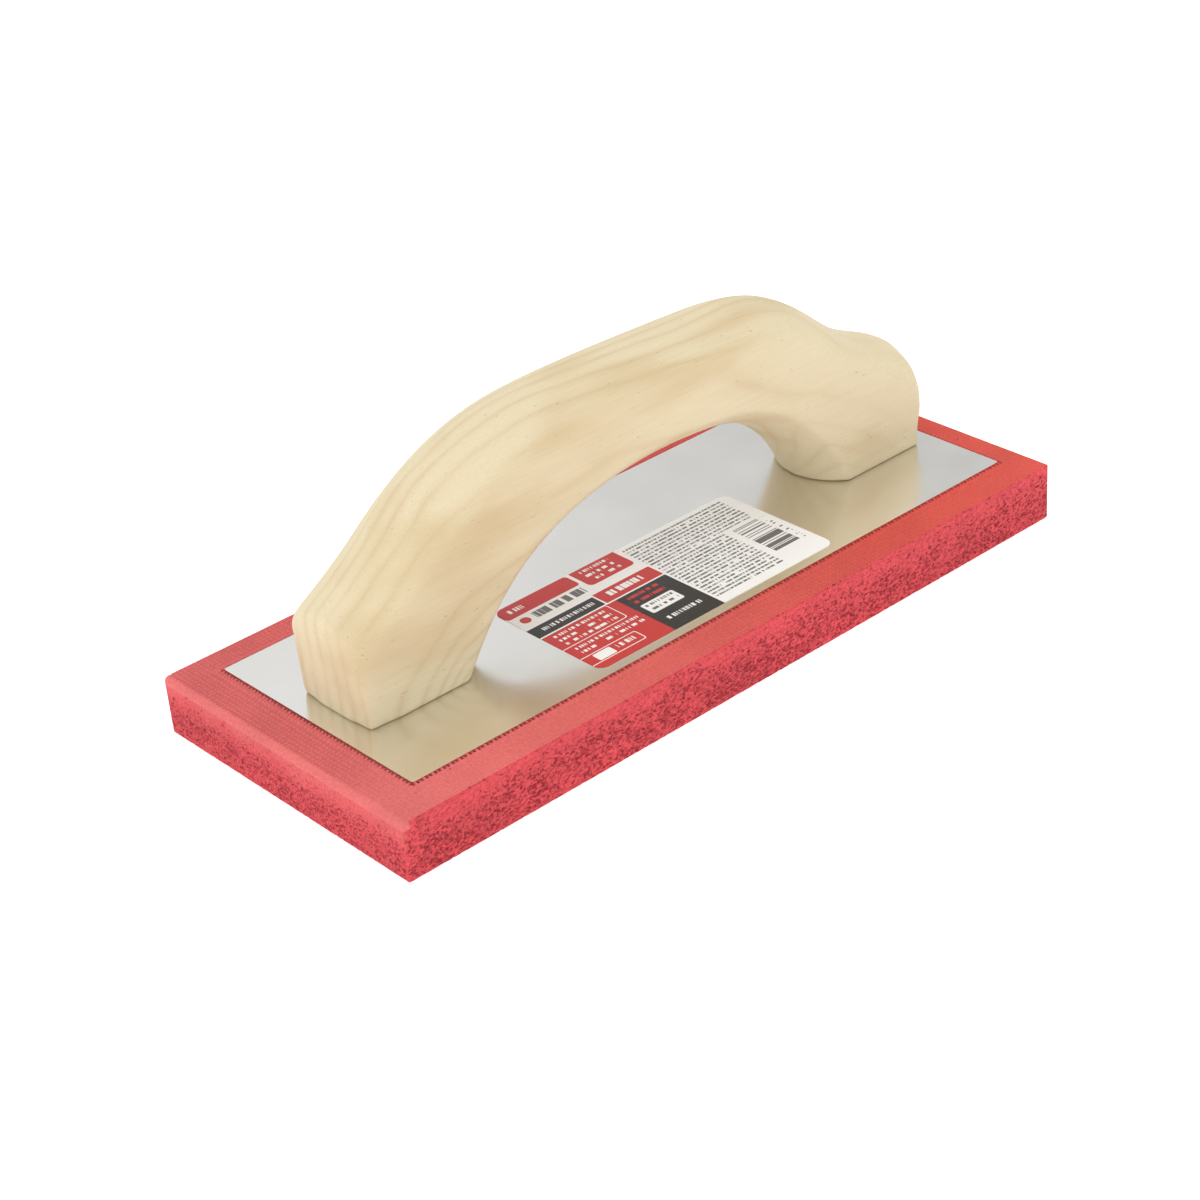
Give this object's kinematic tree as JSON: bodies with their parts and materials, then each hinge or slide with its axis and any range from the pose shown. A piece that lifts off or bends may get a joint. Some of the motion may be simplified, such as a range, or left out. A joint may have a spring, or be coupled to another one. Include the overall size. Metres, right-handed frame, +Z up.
{
  "type": "sponge rubber hand float",
  "caption": "Masonry hand float: a sponge rubber pad glued under a thin aluminium plate, with an arched pine handle for smoothing and texturing mortar or plaster.",
  "frame": {"origin": "centre of the pad's working face, at the bottom of the float", "axes": "+X along the float towards the end of the handle with the thumb saddle, +Z up from the working face"},
  "size_m": [0.2414, 0.1016, 0.084],
  "materials": {
    "sponge_rubber": "red cellular rubber, matte, open pores on the cut sides",
    "dried_cement": "dried contact cement, dull amber brown",
    "plate_aluminium": "mill finish sheet, satin",
    "pine": "sanded pine, unvarnished",
    "label_paper": "printed paper sticker, semi gloss",
    "zinc_plated_steel": "bright zinc plated"
  },
  "bodies": {
    "root": {"sponge_pad": "sponge_rubber", "contact_cement": "dried_cement", "backing_plate": "plate_aluminium", "handle": "pine", "label": "label_paper", "screw_heel_outer": "zinc_plated_steel", "screw_heel_inner": "zinc_plated_steel", "screw_toe_inner": "zinc_plated_steel", "screw_toe_outer": "zinc_plated_steel"}
  },
  "joints": []
}
